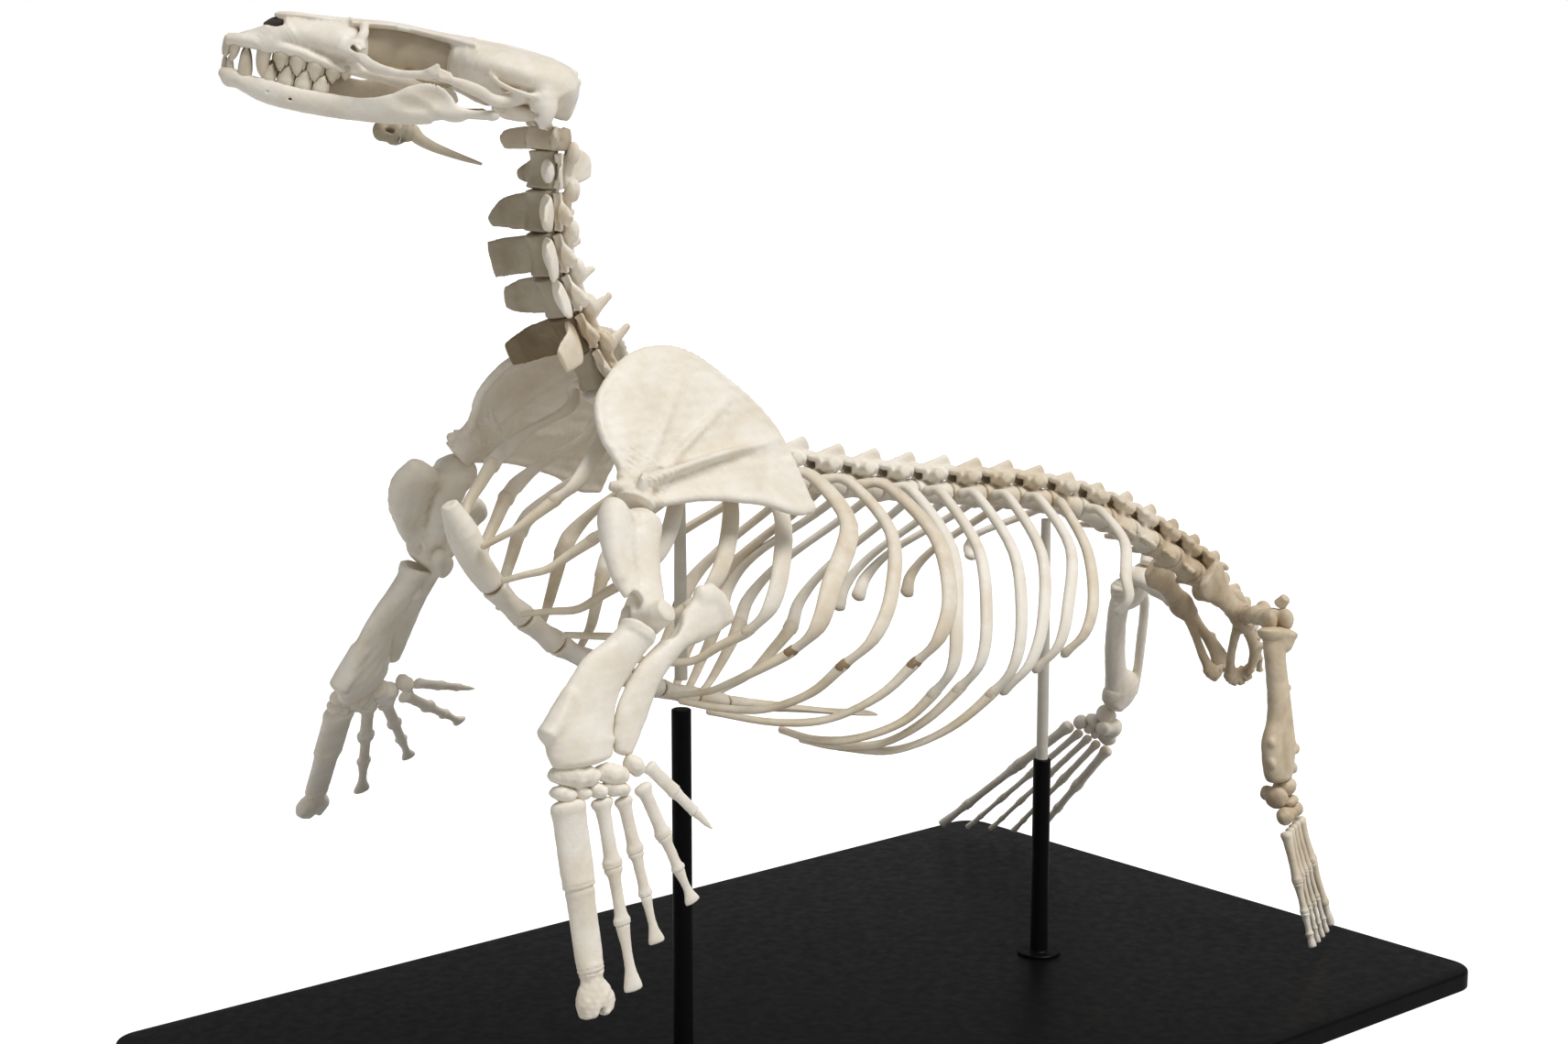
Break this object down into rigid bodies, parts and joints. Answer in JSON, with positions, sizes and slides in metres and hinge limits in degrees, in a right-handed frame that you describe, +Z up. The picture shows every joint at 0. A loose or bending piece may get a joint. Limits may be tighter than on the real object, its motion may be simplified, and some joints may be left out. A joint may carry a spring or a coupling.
{
  "type": "mounted sea lion skeleton",
  "caption": "Skeleton of a young sea lion, mounted on a black board by two rods: chest raised, head turned, front flippers hanging, hind flippers on the board.",
  "frame": {"origin": "centre of the underside of the base", "axes": "+X towards the tail, along the base's long side; +Y to the animal's right; +Z up"},
  "size_m": [0.8475, 0.519, 0.6823],
  "materials": {
    "pale_bone": "cleaned bone, cream, matt to satin, porous at the joints",
    "brown_bone": "bone stained brown, satin",
    "black_paint": "black satin paint with soft reflections",
    "pin_paint": "thin rod painted the colour of bone, satin"
  },
  "bodies": {
    "root": {"ankle_left": "brown_bone", "ankle_right": "pale_bone", "atlas": "pale_bone", "axis": "pale_bone", "carpus_left": "pale_bone", "carpus_right": "pale_bone", "cervical_3": "pale_bone", "cervical_4": "pale_bone", "cervical_5": "pale_bone", "cervical_6": "brown_bone", "cervical_7": "brown_bone", "femur_left": "brown_bone", "femur_right": "pale_bone", "finger_1_left": "pale_bone", "finger_1_right": "pale_bone", "finger_2_left": "pale_bone", "finger_2_right": "pale_bone", "finger_3_left": "pale_bone", "finger_3_right": "pale_bone", "finger_4_left": "pale_bone", "finger_4_right": "pale_bone", "finger_5_left": "pale_bone", "finger_5_right": "pale_bone", "humerus_left": "pale_bone", "humerus_right": "pale_bone", "hyoid": "pale_bone", "lumbar_vertebrae": "brown_bone", "mandible": "pale_bone", "pelvis_left": "brown_bone", "pelvis_right": "brown_bone", "radius_left": "pale_bone", "radius_right": "pale_bone", "rib_cage_left": "pale_bone", "rib_cage_right": "pale_bone", "sacrum": "brown_bone", "scapula_left": "pale_bone", "scapula_right": "pale_bone", "shin_left": "brown_bone", "shin_right": "pale_bone", "skull": "pale_bone", "stand_base": "black_paint", "stand_pin_front": "pin_paint", "stand_pin_rear": "pin_paint", "stand_rod_front": "black_paint", "stand_rod_rear": "black_paint", "sternum": "pale_bone", "tail_vertebrae": "brown_bone", "toe_1_left": "brown_bone", "toe_1_right": "pale_bone", "toe_2_left": "brown_bone", "toe_2_right": "pale_bone", "toe_3_left": "brown_bone", "toe_3_right": "pale_bone", "toe_4_left": "brown_bone", "toe_4_right": "pale_bone", "toe_5_left": "brown_bone", "toe_5_right": "pale_bone", "ulna_left": "pale_bone", "ulna_right": "pale_bone"}
  },
  "joints": []
}
